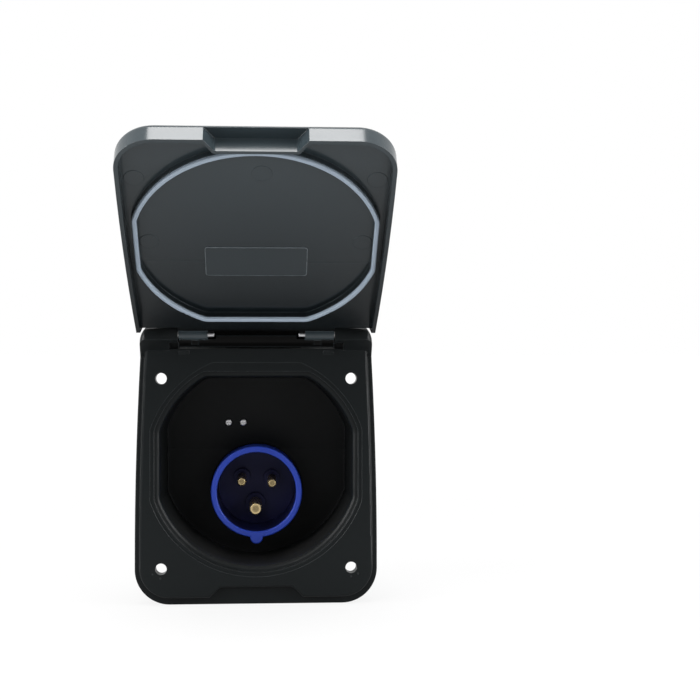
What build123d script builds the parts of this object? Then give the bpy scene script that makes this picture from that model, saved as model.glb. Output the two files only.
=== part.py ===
"""Flush-mounted power inlet for a vehicle wall, shown with its lid open.

Millimetres. X runs to the right, +Y into the wall and +Z up. The origin is the
middle of the four panel screws, on the back of the flange.
"""
import math
import os

from build123d import *

# Outline of the flange and the lid
HALF_WIDTH = 64.0
BOTTOM_Z = -69.25
CROWN_Z = 82.65
WIDEST_Z = -45.65
SIDE_RADIUS = 2000.0
CROWN_RADIUS = 445.0
BOTTOM_CORNER = 18.5
TOP_CORNER = 10.5
FRONT_EDGE = 3.5
CROWN_EDGE = 9.0

# Levels of the front, measured out from the wall
LEDGE = 4.0
PLATE = 8.0
SKIN = 16.0
PLATE_INSET = 2.6
PLATE_BOTTOM_INSET = 3.8
PLATE_EDGE = 1.2
PLATE_WALL = 2.6
RIM_WALL = 5.0

# Panel screws
SCREW_PITCH = 100.0
SCREW_HOLE = 6.0
SCREW_BOSS = 12.0
BACK_RIB = 1.6

# Foam gasket in the back of the flange
GASKET_EDGE = 1.3
GASKET_WIDTH = 2.4
GASKET_THICK = 1.2

# Recess: a circle with flats
RECESS_Z = 4.35
STEP_RADIUS = 58.9
STEP_DEPTH = 0.6
MOUTH_RADIUS = 56.8
MOUTH_DEPTH = 3.0
LIP_WIDTH = 2.9
LIP_ROUND = 2.5
FLAT_RATIO = 0.947
STEP_TOP = 54.2
MOUTH_TOP = 49.4
RECESS_CORNER = 7.0
RECESS_WALL = 2.5
DRAFT = 1.5
FLOOR_Y = 42.0
FLOOR_WALL = 2.5
FOLD_Z = RECESS_Z + 5.0
FLOOR_SLOPE = 13.5
REAR_RIM_Y = 47.0

# Hinge
HINGE_Y = -13.25
HINGE_Z = 73.15
BARREL_RADIUS = 2.75
BARREL_IN = 25.4
BARREL_OUT = 40.6
PIN_RADIUS = 1.4
PIN_FIT = 0.05
PIN_IN = 22.0
PIN_OUT = 53.0
PIN_WINDOW_WALL = 1.1
PIN_WINDOW_HALF = 2.6
HINGE_RIB_X = 32.0
HINGE_RIB_WIDTH = 3.7
SHOULDER_X = 41.0
SHOULDER_SLOPE = 35.8
SHOULDER_GAP_Z = 70.45
SHOULDER_HOLLOW = 12.0
RELIEF_WIDTH = 4.8
RELIEF_TOP = 68.9
RELIEF_LOW = 65.6
RELIEF_DEPTH = 2.4
LIP_TAB = (35.2, 40.8)
LIP_TAB_Z = (62.8, 64.6)
LIP_TAB_PROUD = 1.2
POCKET_RADIUS = 9.1
POCKET_EDGE_Y = 3.6
OPEN_ANGLE = 129.6

# Lid
LID_WALL = 2.0
LID_TOP_WALL = 3.0
LID_REST_GAP = 0.4
LID_END_GAP = 0.5
TONGUE_WALL = 3.5
TONGUE_END = 62.5
SEAL_Z = RECESS_Z - 1.7
SEAL_RADIUS = 59.9
SEAL_SIDE = 57.55
SEAL_TOP = 54.0
SEAL_WIDTH = 2.2
SEAL_GAP = 0.3
RIDGE_WIDTH = 3.0
RIDGE_HEIGHT = 3.0
SEAL_GROOVE = 1.2
LID_NOTCH_MOUTH = 47.0
LID_NOTCH_BACK = 37.2
LID_NOTCH_DEPTH = 6.5
LID_NOTCH_WALL = 1.6
NOTCH_MOUTH = 49.5
NOTCH_BACK = 38.0
NOTCH_DEPTH = 5.4
LABEL_SIZE = (50.0, 20.0)
LABEL_Z = 17.3
LABEL_THICK = 0.3

# Outer face of the lid
PANEL_TOP_INSET = 12.7
PANEL_SIDE_INSET = 2.9
PANEL_BOTTOM_INSET = 7.0
PANEL_CORNER = 13.0
PANEL_TOP_CORNER = 7.0
PANEL_THICK = 1.6
PANEL_BEVEL = (3.6, 0.5)
WAIST_X = HALF_WIDTH - 19.9
WAIST_Z = 13.95
WAIST_RISE = 14.0
WAIST_CORNER = 7.0
PANEL_GAP = 0.25
BEAD_OFFSET = 3.4
TRIM_DEPTH = 1.8
TRIM_STEP = 0.7
TRIM_PITCH = 13.6
TRIM_ANGLE = 39.4
TRIM_FIRST_Z = -3.9
BADGE_SIDE = 34.2
BADGE_CORNER = 4.2
BADGE_Z = 34.6
BADGE_THICK = 1.2
BADGE_PROUD = 0.5
SYMBOL_THICK = 0.4

# Inlet insert
INLET_Z = -12.65
COLLAR_RADIUS = 25.0
COLLAR_WALL = 3.3
COLLAR_FRONT = 21.5
COLLAR_BACK = 70.0
COLLAR_CLEARANCE = 0.3
KEY_WIDTH = 7.0
KEY_REACH = COLLAR_RADIUS + 3.5
INLET_FLANGE = 2 * (COLLAR_RADIUS + 3.0)
INLET_FLANGE_CORNER = 9.0
INLET_FLANGE_THICK = 3.0
INLET_SCREW = (COLLAR_RADIUS + 6.82) * math.sqrt(2)
INLET_SCREW_LENGTH = 9.5
INLET_SEAT_Y = 51.0
INLET_GASKET = 1.0
SEAT_RING = COLLAR_RADIUS + 5.0
BORE_FRONT = 25.0
CARRIER_FACE = 59.5
CARRIER_BACK = 69.0
PIN_CIRCLE = 9.7
PIN_TURN = -3.0
PIN_FRONT = 25.5
LIVE_RADIUS = 2.5
EARTH_RADIUS = 3.5
TERMINAL_LENGTH = 12.0

# Rear cover
COVER_SEAL = 0.8
COVER_PLATE = 2.5
COVER_WALL = 2.2
COVER_BACK = 86.0
COVER_HALF = 33.0
COVER_BOTTOM = -45.5
COVER_TOP = 36.0
COVER_CORNERS = (16.0, 7.0)
COVER_SCREW_X = MOUTH_RADIUS * FLAT_RATIO - 12.8
COVER_SCREW_LENGTH = 7.6
COVER_SCREW_HOLE = 3.8
COVER_SCREW_Z = (RECESS_Z + 17.0, RECESS_Z - 20.0)

# Cord entry
GLAND_X = -11.5
GLAND_Y = 66.5
GLAND_THREAD = 10.0
GLAND_BORE = 6.5
GLAND_FLATS = 24.0
GLAND_HEX = 5.0
GLAND_NUT = 13.0
LOCKNUT_FLATS = 24.0
LOCKNUT_THICK = 5.0
SADDLE_Z = 24.8
SADDLE_PITCH = 8.2
SADDLE_SIZE = (16.0, 7.0, 5.0)
SADDLE_SCREW_LENGTH = 7.0

PARTS = {}


def front(y):
    """Sketch plane that faces the viewer: sketch X is X, sketch Y is Z."""
    return Plane(origin=(0, y, 0), x_dir=(1, 0, 0), z_dir=(0, -1, 0))


def slab(face, back, y):
    """Extrude a sketch from its back level towards the viewer."""
    return extrude(front(back) * face, amount=back - y)


def rod(x, z, radius, back, y):
    return slab(Pos(x, z) * Circle(radius), back, y)


def bar(radius, x0, x1, y=HINGE_Y, z=HINGE_Z):
    """Round bar along X."""
    return extrude(Plane(origin=(x0, y, z), z_dir=(1, 0, 0)) * Circle(radius), amount=x1 - x0)


def prism(points, x0, x1):
    """Polygon of (y, z) points, extruded along X."""
    plane = Plane(origin=(x0, 0, 0), x_dir=(0, 1, 0), z_dir=(1, 0, 0))
    return extrude(plane * make_face(Polyline(*points, close=True)), amount=x1 - x0)


def outline(inset=0.0, bottom=None, corner=BOTTOM_CORNER):
    """Outer shape of flange and lid: bowed sides, arched crown, round corners."""
    bottom = inset if bottom is None else bottom
    right = Pos(HALF_WIDTH - SIDE_RADIUS, WIDEST_Z) * Circle(SIDE_RADIUS - inset)
    left = Pos(SIDE_RADIUS - HALF_WIDTH, WIDEST_Z) * Circle(SIDE_RADIUS - inset)
    crown = Pos(0, CROWN_Z - CROWN_RADIUS) * Circle(CROWN_RADIUS - inset)
    height = 2 * CROWN_RADIUS
    above = Pos(0, BOTTOM_Z + bottom + height / 2) * Rectangle(height, height)
    face = right & left & crown & above
    low = face.vertices().group_by(Axis.Y)[0]
    face = fillet(low, corner - inset)
    high = face.vertices().group_by(Axis.Y)[-1]
    return fillet(high, max(TOP_CORNER - inset, 1.0))


def recess_shape(radius, top, side=None, corner=RECESS_CORNER, centre=RECESS_Z):
    """Circle with a flat at each side and at the top, its corners eased."""
    side = radius * FLAT_RATIO if side is None else side
    box = Pos(0, (top - radius) / 2) * Rectangle(2 * side, top + radius)
    face = Circle(radius) & box
    return Pos(0, centre) * fillet(face.vertices(), corner)


def recess_at(y, grow=0.0):
    """Recess section at a depth, narrowed by its draft."""
    lip = MOUTH_RADIUS - MOUTH_TOP
    shrink = LIP_WIDTH + (y + PLATE) * math.tan(math.radians(DRAFT)) - grow
    radius = MOUTH_RADIUS - shrink
    return recess_shape(radius, radius - lip, MOUTH_RADIUS * FLAT_RATIO - shrink)


def recess_loft(y0, y1, grow=0.0):
    return loft([front(y0) * recess_at(y0, grow), front(y1) * recess_at(y1, grow)], ruled=True)


def notch_shape(mouth, back, depth, bottom):
    """Finger notch: a trapezium cut up into the lower edge."""
    base = bottom - depth
    corners = [(-mouth / 2 - 1, base), (mouth / 2 + 1, base), (mouth / 2, bottom)]
    corners += [(back / 2, bottom + depth), (-back / 2, bottom + depth), (-mouth / 2, bottom)]
    face = make_face(Polyline(*corners, close=True))
    return fillet(face.vertices().group_by(Axis.Y)[-1], 1.5)


def skin_block(back):
    """Closed front of the whole inlet, with its rounded front edges."""
    block = slab(outline(), back, -SKIN)
    block = fillet([edge for edge in block.edges() if edge.center().Y < -SKIN + 0.01], FRONT_EDGE)
    disc = slab(Pos(0, CROWN_Z - CROWN_RADIUS) * Circle(CROWN_RADIUS), back, -SKIN)
    disc = fillet(disc.edges().sort_by(Axis.Y)[0], CROWN_EDGE)
    return block & disc


def slope_prism(shift, x0, x1):
    """Everything above the sloping face of the shoulders, moved down by shift."""
    rise = math.tan(math.radians(SHOULDER_SLOPE))
    front_z = SHOULDER_GAP_Z - shift
    depth = SKIN + 4.0
    points = [(-SKIN - 4, front_z + 4 * rise), (-SKIN + depth, front_z - depth * rise)]
    points += [(-SKIN + depth, CROWN_Z + 20), (-SKIN - 4, CROWN_Z + 20)]
    return prism(points, x0, x1)


def floor_wedge(offset):
    """Everything behind the recess floor; the upper floor leans forward."""
    lean = math.tan(math.radians(FLOOR_SLOPE))
    y = FLOOR_Y + offset
    fold = FOLD_Z + offset * math.tan(math.radians(FLOOR_SLOPE / 2))
    reach = 60.0
    points = [(y, fold - 3 * reach), (y, fold), (y - reach * lean, fold + reach)]
    points += [(y + 2 * reach, fold + reach), (y + 2 * reach, fold - 3 * reach)]
    return prism(points, -HALF_WIDTH, HALF_WIDTH)


def flange():
    """Ledge, raised plate, shoulders and scooped hinge pocket, cored from behind."""
    body = slab(outline(), 0, -LEDGE)
    notch = notch_shape(NOTCH_MOUTH, NOTCH_BACK, NOTCH_DEPTH, BOTTOM_Z + PLATE_BOTTOM_INSET)
    face = outline(PLATE_INSET, PLATE_BOTTOM_INSET) - notch
    plate = slab(face, -LEDGE, -PLATE)
    rim = [edge for edge in plate.edges() if edge.center().Y < -PLATE + 0.01]
    plate = fillet(rim, PLATE_EDGE)
    body += plate
    block = skin_block(-LEDGE + 0.5)
    for x0, x1 in ((SHOULDER_X, HALF_WIDTH + 5), (-HALF_WIDTH - 5, -SHOULDER_X)):
        body += block & slope_prism(0, x0, x1)
    body += block & prism([(-PLATE, 60), (0, 60), (0, 90), (HINGE_Y + POCKET_EDGE_Y, 90),
                           (HINGE_Y + POCKET_EDGE_Y, 75), (-PLATE, 66)], -SHOULDER_X, SHOULDER_X)
    body -= bar(POCKET_RADIUS, -SHOULDER_X, SHOULDER_X)
    for x0 in (-SHOULDER_X - RELIEF_WIDTH, SHOULDER_X):
        body -= prism([(-PLATE, 60), (-SKIN - 1, 60), (-SKIN - 1, RELIEF_TOP), (-PLATE, RELIEF_TOP)],
                      x0, x0 + RELIEF_WIDTH)
        deep = -PLATE + RELIEF_DEPTH
        body -= prism([(deep, RELIEF_LOW), (-SKIN - 1, RELIEF_LOW), (-SKIN - 1, RELIEF_TOP), (deep, RELIEF_TOP)],
                      x0, x0 + RELIEF_WIDTH)
    for side in (-1, 1):
        x0, x1 = sorted((side * LIP_TAB[0], side * LIP_TAB[1]))
        low, high = LIP_TAB_Z
        body += prism([(-PLATE + 1, low), (-PLATE, low), (-PLATE - LIP_TAB_PROUD, low + LIP_TAB_PROUD),
                       (-PLATE - LIP_TAB_PROUD, high), (-PLATE + 1, high)], x0, x1)
    core = outline(RIM_WALL, RIM_WALL + 1.0, BOTTOM_CORNER) - recess_at(-PLATE, RECESS_WALL + LIP_WIDTH)
    core -= Pos(0, HINGE_Z + 3) * Rectangle(200, 34)
    core -= notch_shape(NOTCH_MOUTH + 4, NOTCH_BACK + 4, NOTCH_DEPTH + 3, BOTTOM_Z + PLATE_BOTTOM_INSET)
    half = SCREW_PITCH / 2
    for x in (-half, half):
        for z in (-half, half):
            core -= Pos(x, z) * Circle(SCREW_BOSS / 2)
            core -= Pos(x, z) * Rot(0, 0, math.degrees(math.atan2(z, x))) * Rectangle(40, BACK_RIB)
    core -= Rectangle(2 * HALF_WIDTH, BACK_RIB)
    body -= slab(core, 0, -PLATE + PLATE_WALL)
    low, deep, high = RELIEF_TOP + 1.2, -PLATE - 1, HINGE_Z + 3
    for edge in (SHOULDER_X + 3, -SHOULDER_X - 3 - SHOULDER_HOLLOW):
        body -= prism([(0, low), (deep, low), (deep, high), (0, high)], edge, edge + SHOULDER_HOLLOW)
    return body


def gasket_ring():
    outer = outline(GASKET_EDGE)
    inner = outline(GASKET_EDGE + GASKET_WIDTH)
    return slab(outer - inner, 0, -GASKET_THICK)


def lip_edges(body):
    """Edges where the wall of the recess meets the ledge inside its mouth."""
    y = -PLATE + MOUTH_DEPTH
    inset = LIP_WIDTH + MOUTH_DEPTH * math.tan(math.radians(DRAFT)) - 0.5
    radius, side = MOUTH_RADIUS - inset, MOUTH_RADIUS * FLAT_RATIO - inset
    top = RECESS_Z + MOUTH_TOP - inset
    picked = []
    for edge in body.edges():
        spot = edge @ 0.5
        if abs(spot.Y - y) < 0.01 and abs(spot.X) < side and spot.Z < top:
            if math.hypot(spot.X, spot.Z - RECESS_Z) < radius:
                picked.append(edge)
    return picked


def make_housing():
    body = flange()
    body += recess_loft(-PLATE + MOUTH_DEPTH, REAR_RIM_Y, RECESS_WALL)
    body -= slab(recess_shape(STEP_RADIUS, STEP_TOP), -PLATE + STEP_DEPTH, -PLATE - 1)
    body -= slab(recess_shape(MOUTH_RADIUS, MOUTH_TOP), -PLATE + MOUTH_DEPTH, -PLATE - 1)
    well = recess_loft(-PLATE + MOUTH_DEPTH - 1, REAR_RIM_Y + 1)
    body -= well
    body = fillet(lip_edges(body), LIP_ROUND)
    body += (well & floor_wedge(0)) - floor_wedge(FLOOR_WALL)
    body += rod(0, INLET_Z, SEAT_RING, INLET_SEAT_Y - INLET_GASKET, FLOOR_Y + 0.2)
    for x in (-1, 1):
        for z in (-1, 1):
            spot = (x * INLET_SCREW / 2, INLET_Z + z * INLET_SCREW / 2)
            body += rod(*spot, 3.5, INLET_SEAT_Y, FLOOR_Y + 0.5)
            body -= rod(*spot, 1.4, INLET_SEAT_Y + 1, INLET_SEAT_Y - 7)
    for x in (-COVER_SCREW_X, COVER_SCREW_X):
        for z in COVER_SCREW_Z:
            post = rod(x, z, 3.75, REAR_RIM_Y, FLOOR_Y - 12)
            wing = slab(Pos(x * 1.1, z) * Rectangle(10, 2.4), REAR_RIM_Y - 1, FLOOR_Y - 12)
            body += (post + (wing & well)) & floor_wedge(0.5)
            body -= rod(x, z, 1.5, REAR_RIM_Y + 1, REAR_RIM_Y - COVER_SCREW_HOLE)
    hole = COLLAR_RADIUS + COLLAR_CLEARANCE
    body -= rod(0, INLET_Z, hole, INLET_SEAT_Y + 1, BORE_FRONT)
    body -= key_bar(COLLAR_CLEARANCE, INLET_SEAT_Y + 1, BORE_FRONT)
    half = SCREW_PITCH / 2
    for x in (-half, half):
        for z in (-half, half):
            body -= rod(x, z, SCREW_HOLE / 2, 1, -PLATE - 1)
    for x in saddle_screw_places():
        body -= floor_plane(x) * Cylinder(1.3, 30)
    for x0, x1 in ((SHOULDER_X - 1, PIN_OUT), (-PIN_OUT, -SHOULDER_X + 1)):
        body -= bar(PIN_RADIUS, x0, x1)
    return body - gasket_ring()


def key_bar(grow, back, y):
    """The key at the bottom of the collar, round at its tip."""
    half = KEY_WIDTH / 2 + grow
    tip = INLET_Z - KEY_REACH + KEY_WIDTH / 2
    face = Pos(0, (tip + INLET_Z - 20) / 2) * Rectangle(2 * half, INLET_Z - 20 - tip)
    face += Pos(0, tip) * Circle(half)
    return slab(face, back, y)


def saddle_screw_places():
    return [GLAND_X - SADDLE_PITCH / 2, GLAND_X + SADDLE_PITCH / 2]


def floor_plane(x, offset=0.0):
    """Plane on the leaning floor at the saddle, facing out of the recess."""
    lean = math.radians(FLOOR_SLOPE)
    y = FLOOR_Y - (SADDLE_Z - FOLD_Z) * math.tan(lean)
    normal = (0, -math.cos(lean), -math.sin(lean))
    spot = (x, y + normal[1] * offset, SADDLE_Z + normal[2] * offset)
    return Plane(origin=spot, x_dir=(1, 0, 0), z_dir=normal)


def panel_shape(grow=0.0):
    """Face of the grey panel: arched top, and a waist at the trimmed corner."""
    side = outline(PANEL_SIDE_INSET - grow, PANEL_BOTTOM_INSET - grow, PANEL_CORNER + PANEL_SIDE_INSET)
    crown = CROWN_RADIUS - PANEL_TOP_INSET + grow
    face = side & (Pos(0, CROWN_Z - CROWN_RADIUS) * Circle(crown))
    face = fillet(face.vertices().group_by(Axis.Y)[-1], PANEL_TOP_CORNER)
    x, z = WAIST_X + grow, WAIST_Z - grow * 0.4
    far = HALF_WIDTH + 10
    cut = make_face(Polyline((x, z), (far, z + WAIST_RISE * (far - x) / 16), (far, -200), (x, -200), close=True))
    face -= cut
    mid = [v for v in face.vertices() if v.X > WAIST_X - 1 and -30 < v.Y < 45]
    face = fillet(mid, WAIST_CORNER)
    low = [v for v in face.vertices() if v.X > 20 and v.Y < -40]
    return fillet(low, PANEL_CORNER + grow)


def trim_shape():
    return outline(-1.0, corner=BOTTOM_CORNER - 1) - panel_shape(BEAD_OFFSET)


def in_trim_corner(shape):
    box = Pos(HALF_WIDTH, -20) * Rectangle(80, 100)
    return shape & box


def make_lid(block):
    skin = block
    for x0, x1 in ((BARREL_OUT, HALF_WIDTH + 5), (-HALF_WIDTH - 5, -BARREL_OUT)):
        skin -= slope_prism(LID_END_GAP / math.cos(math.radians(SHOULDER_SLOPE)), x0, x1)
    inner = outline(LID_WALL, LID_WALL, BOTTOM_CORNER)
    notch = notch_shape(LID_NOTCH_MOUTH, LID_NOTCH_BACK, LID_NOTCH_DEPTH, BOTTOM_Z)
    ring = notch_shape(LID_NOTCH_MOUTH + 2, LID_NOTCH_BACK + 1.6, LID_NOTCH_DEPTH + LID_NOTCH_WALL, BOTTOM_Z)
    cavity = slab(inner - ring, 2, -SKIN + LID_TOP_WALL)
    fold = CROWN_Z - CROWN_EDGE
    cavity -= prism([(-SKIN - 1, fold), (5, fold), (5, CROWN_Z + 5), (-SKIN - 1, CROWN_Z + 5)],
                    -HALF_WIDTH, HALF_WIDTH)
    body = skin - cavity
    body -= slab(notch, 2, -SKIN + LID_TOP_WALL)
    body -= tongue_cut()
    for x0, x1 in ((BARREL_IN, BARREL_OUT), (-BARREL_OUT, -BARREL_IN)):
        body += bar(BARREL_RADIUS, x0, x1)
    for x in (-HINGE_RIB_X, HINGE_RIB_X):
        body += prism([(-SKIN + 1.5, HINGE_Z + 1), (HINGE_Y + 1.4, HINGE_Z + 2), (HINGE_Y + 3, HINGE_Z + 4.6),
                       (-SKIN + 3, HINGE_Z + 6)],
                      x - HINGE_RIB_WIDTH / 2, x + HINGE_RIB_WIDTH / 2)
    for x0, x1 in ((BARREL_IN - 1, BARREL_OUT + 1), (-BARREL_OUT - 1, -BARREL_IN + 1)):
        body -= bar(PIN_RADIUS + PIN_FIT, x0, x1)
    window = BARREL_RADIUS - PIN_WINDOW_WALL
    for x0, x1 in ((PIN_IN - 1, BARREL_IN), (-BARREL_IN, -PIN_IN + 1)):
        low, high = HINGE_Z - PIN_WINDOW_HALF, HINGE_Z + PIN_WINDOW_HALF
        body -= prism([(HINGE_Y - window, low), (HINGE_Y + 4, low),
                       (HINGE_Y + 4, high), (HINGE_Y - window, high)], x0, x1)
    half = RIDGE_WIDTH / 2
    ridge = seal_path(half) - seal_path(-half)
    panel_y = -SKIN + LID_TOP_WALL
    body += slab(ridge, panel_y + RIDGE_HEIGHT, panel_y - 0.5)
    groove = seal_path(SEAL_GROOVE / 2) - seal_path(-SEAL_GROOVE / 2)
    body -= slab(groove, panel_y + RIDGE_HEIGHT + 1, panel_y + RIDGE_HEIGHT - SEAL_GROOVE)
    body -= slab(panel_shape(PANEL_GAP), -SKIN + PANEL_THICK, -SKIN - 1)
    body -= slab(in_trim_corner(trim_shape()), -SKIN + TRIM_DEPTH, -SKIN - 1)
    return body


def tongue_cut():
    """Hollow behind the curved tongue, and its cut end, so that it swings in the pocket."""
    centre = (-SKIN + CROWN_EDGE, CROWN_Z - CROWN_EDGE)
    inside = extrude(Plane(origin=(-BARREL_OUT - 9, *centre), z_dir=(1, 0, 0))
                     * Circle(CROWN_EDGE - TONGUE_WALL), amount=2 * BARREL_OUT + 18)
    low = BOTTOM_Z + 120
    step = prism([(-SKIN + TONGUE_WALL, low), (5, low), (5, centre[1]), (-SKIN + TONGUE_WALL, centre[1])],
                 -BARREL_OUT - 9, BARREL_OUT + 9)
    angle = math.radians(TONGUE_END)
    reach = 3 * CROWN_EDGE
    end = (centre[0] - reach * math.cos(angle), centre[1] + reach * math.sin(angle))
    tip = prism([centre, end, (centre[0] + reach, end[1]), (centre[0] + reach, centre[1])],
                -HALF_WIDTH, HALF_WIDTH)
    return [inside, step, tip]


def seal_path(grow):
    return recess_shape(SEAL_RADIUS + grow, SEAL_TOP + grow, SEAL_SIDE + grow, RECESS_CORNER + grow, SEAL_Z)


def make_seal():
    base = -SKIN + LID_TOP_WALL + RIDGE_HEIGHT
    half = SEAL_WIDTH / 2
    bead = slab(seal_path(half) - seal_path(-half), -PLATE - SEAL_GAP, base)
    top = [edge for edge in bead.edges() if edge.center().Y > -PLATE - SEAL_GAP - 0.01]
    bead = fillet(top, 0.7)
    tongue = SEAL_GROOVE / 2
    return bead + slab(seal_path(tongue) - seal_path(-tongue), base + 0.2, base - SEAL_GROOVE)


def make_panel():
    panel = slab(panel_shape(), -SKIN + PANEL_THICK, -SKIN)
    rim = [edge for edge in panel.edges() if edge.center().Y < -SKIN + 0.01]
    panel = chamfer(rim, PANEL_BEVEL[1], PANEL_BEVEL[0])
    seat = Pos(0, BADGE_Z) * RectangleRounded(BADGE_SIDE, BADGE_SIDE, BADGE_CORNER)
    return panel - slab(seat, -SKIN + BADGE_THICK - BADGE_PROUD, -SKIN - 1)


def symbol_shape():
    """Plain arrow that bends twice, as on any electrical cover."""
    points = [(1.6, 9.9), (-4.2, -0.6), (-0.6, 0.4), (-2.6, -5.2), (-4.2, -4.6), (-1.2, -10.0)]
    points += [(2.6, -6.4), (0.0, -6.0), (4.2, 3.0), (0.4, 1.6), (4.4, 9.9)]
    return Pos(0, BADGE_Z) * make_face(Polyline(*points, close=True))


def make_badge():
    face = Pos(0, BADGE_Z) * RectangleRounded(BADGE_SIDE, BADGE_SIDE, BADGE_CORNER)
    badge = slab(face, -SKIN + BADGE_THICK - BADGE_PROUD, -SKIN - BADGE_PROUD)
    rim = [edge for edge in badge.edges() if edge.center().Y < -SKIN - BADGE_PROUD + 0.01]
    badge = fillet(rim, 0.3)
    return badge - slab(symbol_shape(), -SKIN - BADGE_PROUD + SYMBOL_THICK, -SKIN - 2)


def make_symbol():
    return slab(symbol_shape(), -SKIN - BADGE_PROUD + SYMBOL_THICK, -SKIN - BADGE_PROUD)


def make_trim(block):
    """Corner of the lid's skin, cut into overlapping facets."""
    body = block & slab(in_trim_corner(trim_shape()), -SKIN + TRIM_DEPTH, -SKIN - 1)
    angle = math.radians(TRIM_ANGLE)
    along = Vector(math.cos(angle), 0, math.sin(angle))
    across = Vector(math.sin(angle), 0, -math.cos(angle))
    for count in range(-2, 5):
        start = Vector(HALF_WIDTH - 16, 0, TRIM_FIRST_Z) + across * (count * TRIM_PITCH)
        plane = Plane(origin=start - along * 60, x_dir=across, z_dir=along)
        up = plane.to_local_coords(start + Vector(0, -1, 0)) - plane.to_local_coords(start)
        sign = 1 if up.Y > 0 else -1
        top, low = sign * SKIN, sign * (SKIN - TRIM_STEP)
        cut = make_face(Polyline((0, top), (TRIM_PITCH, low), (TRIM_PITCH, sign * (SKIN + 3)),
                                 (0, sign * (SKIN + 3)), close=True))
        body -= extrude(plane * cut, amount=140)
    return body


def make_collar():
    tube = rod(0, INLET_Z, COLLAR_RADIUS, COLLAR_BACK, COLLAR_FRONT)
    key = key_bar(0, INLET_SEAT_Y, COLLAR_FRONT)
    base = Pos(0, INLET_Z) * RectangleRounded(INLET_FLANGE, INLET_FLANGE, INLET_FLANGE_CORNER)
    body = tube + key + slab(base, INLET_SEAT_Y + INLET_FLANGE_THICK, INLET_SEAT_Y)
    body -= rod(0, INLET_Z, COLLAR_RADIUS - COLLAR_WALL, COLLAR_BACK + 1, COLLAR_FRONT - 1)
    mouth = [edge for edge in body.edges() if edge.center().Y < COLLAR_FRONT + 0.01]
    body = fillet(mouth, 0.8)
    for spot in inlet_screw_places():
        body -= rod(*spot, 1.9, COLLAR_BACK, INLET_SEAT_Y - 1)
    return body


def inlet_screw_places():
    half = INLET_SCREW / 2
    return [(x, INLET_Z + z) for x in (-half, half) for z in (-half, half)]


def make_inlet_gasket():
    ring = rod(0, INLET_Z, SEAT_RING - 0.8, INLET_SEAT_Y, INLET_SEAT_Y - INLET_GASKET)
    ring -= rod(0, INLET_Z, COLLAR_RADIUS + COLLAR_CLEARANCE + 0.5, INLET_SEAT_Y + 1, INLET_SEAT_Y - 2)
    ring -= key_bar(COLLAR_CLEARANCE, INLET_SEAT_Y + 1, INLET_SEAT_Y - 2)
    for spot in inlet_screw_places():
        ring -= rod(*spot, 3.8, INLET_SEAT_Y + 1, INLET_SEAT_Y - 2)
    return ring


def pin_places():
    """Live, neutral and earth pins on their circle, seen from the front."""
    turns = {"line": 150 + PIN_TURN, "neutral": 30 + PIN_TURN, "earth": 270 + PIN_TURN}
    places = {}
    for name, turn in turns.items():
        angle = math.radians(turn)
        radius = EARTH_RADIUS if name == "earth" else LIVE_RADIUS
        places[name] = (PIN_CIRCLE * math.cos(angle), INLET_Z + PIN_CIRCLE * math.sin(angle), radius)
    return places


def make_carrier():
    body = rod(0, INLET_Z, COLLAR_RADIUS - COLLAR_WALL, CARRIER_BACK, CARRIER_FACE)
    for x, z, radius in pin_places().values():
        body += rod(x, z, radius + 2.2, CARRIER_FACE, CARRIER_FACE - 3)
    for x, z, radius in pin_places().values():
        body -= rod(x, z, radius, CARRIER_BACK + 1, CARRIER_FACE - 5)
    return body


def make_pin(x, z, radius):
    """Contact pin with a chamfered tip, and its screw terminal at the back."""
    shank = rod(x, z, radius, CARRIER_BACK, PIN_FRONT)
    tip = [edge for edge in shank.edges() if edge.center().Y < PIN_FRONT + 0.01]
    shank = chamfer(tip, 0.7)
    terminal = rod(x, z, radius + 1.6, CARRIER_BACK + TERMINAL_LENGTH, CARRIER_BACK)
    terminal -= rod(x, z, radius - 0.4, CARRIER_BACK + TERMINAL_LENGTH + 1, CARRIER_BACK + 3)
    return shank + terminal - terminal_hole(x, z)


def terminal_hole(x, z):
    spot = (x, CARRIER_BACK + TERMINAL_LENGTH - 5, z)
    angle = math.atan2(z - INLET_Z, x)
    return Plane(origin=spot, z_dir=(math.cos(angle), 0, math.sin(angle))) * Cylinder(
        1.5, 7, align=(Align.CENTER, Align.CENTER, Align.MIN))


def make_terminal_screws():
    screws = []
    for x, z, radius in pin_places().values():
        spot = (x, CARRIER_BACK + TERMINAL_LENGTH - 5, z)
        angle = math.atan2(z - INLET_Z, x)
        plane = Plane(origin=spot, z_dir=(math.cos(angle), 0, math.sin(angle)))
        low = (Align.CENTER, Align.CENTER, Align.MIN)
        screw = plane * Pos(0, 0, radius - 0.6) * Cylinder(1.5, 3.6, align=low)
        screws.append(screw - plane * Pos(0, 0, radius + 2.4) * Box(0.6, 4, 2, align=low))
    return screws


def pan_screw(plane, shank, length, head, height, slot=0.6):
    """Pan-head screw; the plane sits under the head and faces away from the thread."""
    low = (Align.CENTER, Align.CENTER, Align.MIN)
    cap = Cylinder(head, height, align=low)
    cap = fillet(cap.edges().sort_by(Axis.Z)[-1], height * 0.5)
    cap -= Pos(0, 0, height * 0.55) * Box(head * 1.3, slot, height, align=low)
    cap -= Pos(0, 0, height * 0.55) * Box(slot, head * 1.3, height, align=low)
    body = cap + Pos(0, 0, -length) * Cylinder(shank, length, align=low)
    return plane * body


def back_plane(x, y, z):
    return Plane(origin=(x, y, z), x_dir=(1, 0, 0), z_dir=(0, 1, 0))


def cover_face(inset=0.0):
    wide = 2 * (COVER_HALF - inset)
    tall = COVER_TOP - COVER_BOTTOM - 2 * inset
    face = Pos(0, (COVER_TOP + COVER_BOTTOM) / 2) * Rectangle(wide, tall)
    face = fillet(face.vertices().group_by(Axis.Y)[0], COVER_CORNERS[0] - inset)
    return fillet(face.vertices().group_by(Axis.Y)[-1], COVER_CORNERS[1] - inset)


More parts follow.
